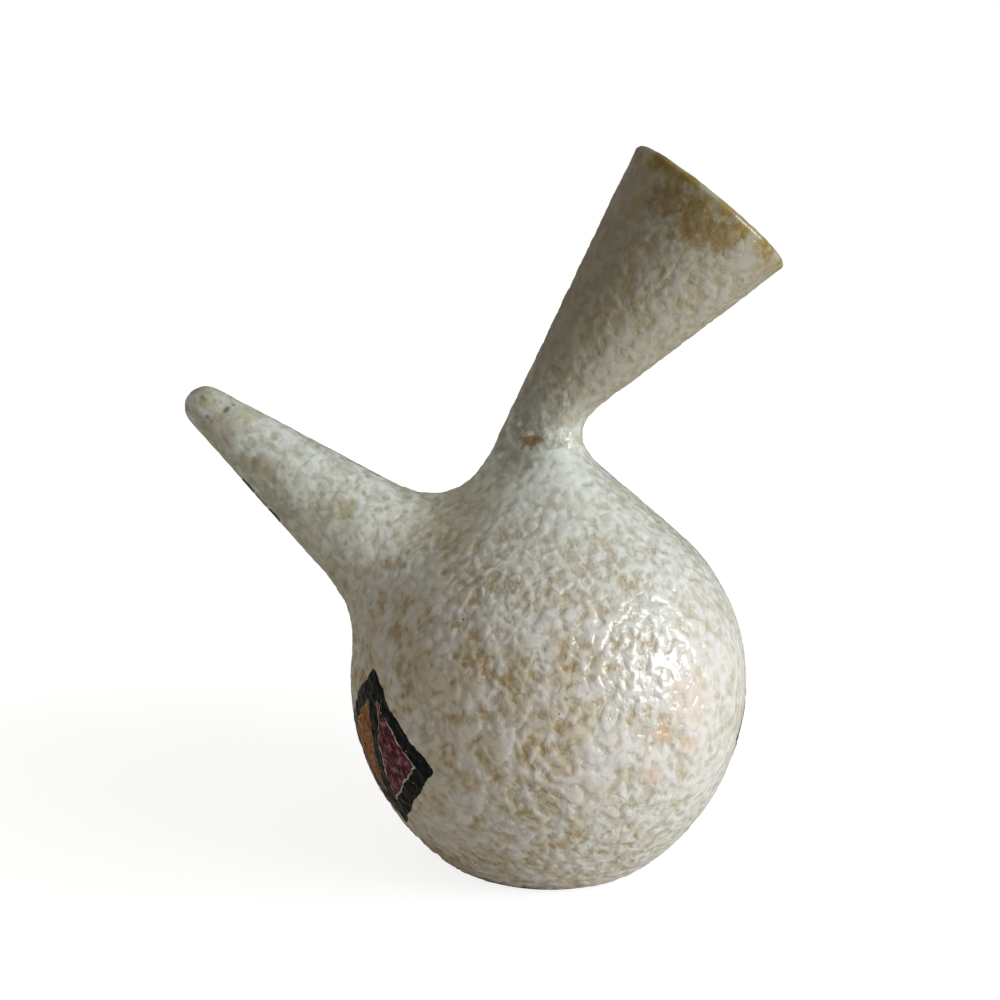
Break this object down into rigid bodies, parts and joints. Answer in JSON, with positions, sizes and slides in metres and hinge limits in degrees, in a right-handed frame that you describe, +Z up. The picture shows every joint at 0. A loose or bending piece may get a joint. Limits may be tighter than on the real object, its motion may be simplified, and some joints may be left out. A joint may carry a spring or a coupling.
{
  "type": "vase",
  "caption": "Glazed pottery vase: globe belly on a flat foot, a leaning funnel neck for stems, a closed leaning horn on the other side, pitted white glaze and painted lozenges.",
  "frame": {"origin": "centre of the flat foot, on the surface that it stands on", "axes": "+Z up the globe's axis; +X towards the mouth, so the horn leans towards -X; +Y towards the painted side"},
  "size_m": [0.1891, 0.1301, 0.2298],
  "materials": {
    "clay": "fired clay, matt and bare",
    "slip": "fired slip, matt",
    "white_glaze": "thick off-white glaze, pitted, satin to glossy",
    "honey_glaze": "glossy honey-brown glaze",
    "black_enamel": "brushed black enamel, glossy",
    "maroon_enamel": "brushed maroon enamel, glossy",
    "orange_enamel": "brushed orange-brown enamel, glossy",
    "green_enamel": "brushed dark green enamel, glossy",
    "yellow_enamel": "brushed yellow-green enamel, glossy"
  },
  "bodies": {
    "root": {"lower_bowl": "clay", "belly_slip": "slip", "upper_dome": "clay", "neck_slip": "slip", "neck_funnel": "clay", "neck_fillet": "white_glaze", "horn_slip": "slip", "horn": "clay", "horn_fillet": "white_glaze", "outer_glaze": "white_glaze", "lining_glaze": "white_glaze", "rim_glaze": "honey_glaze", "black_enamel": "black_enamel", "maroon_enamel": "maroon_enamel", "orange_enamel": "orange_enamel", "green_enamel": "green_enamel", "yellow_enamel": "yellow_enamel"}
  },
  "joints": []
}
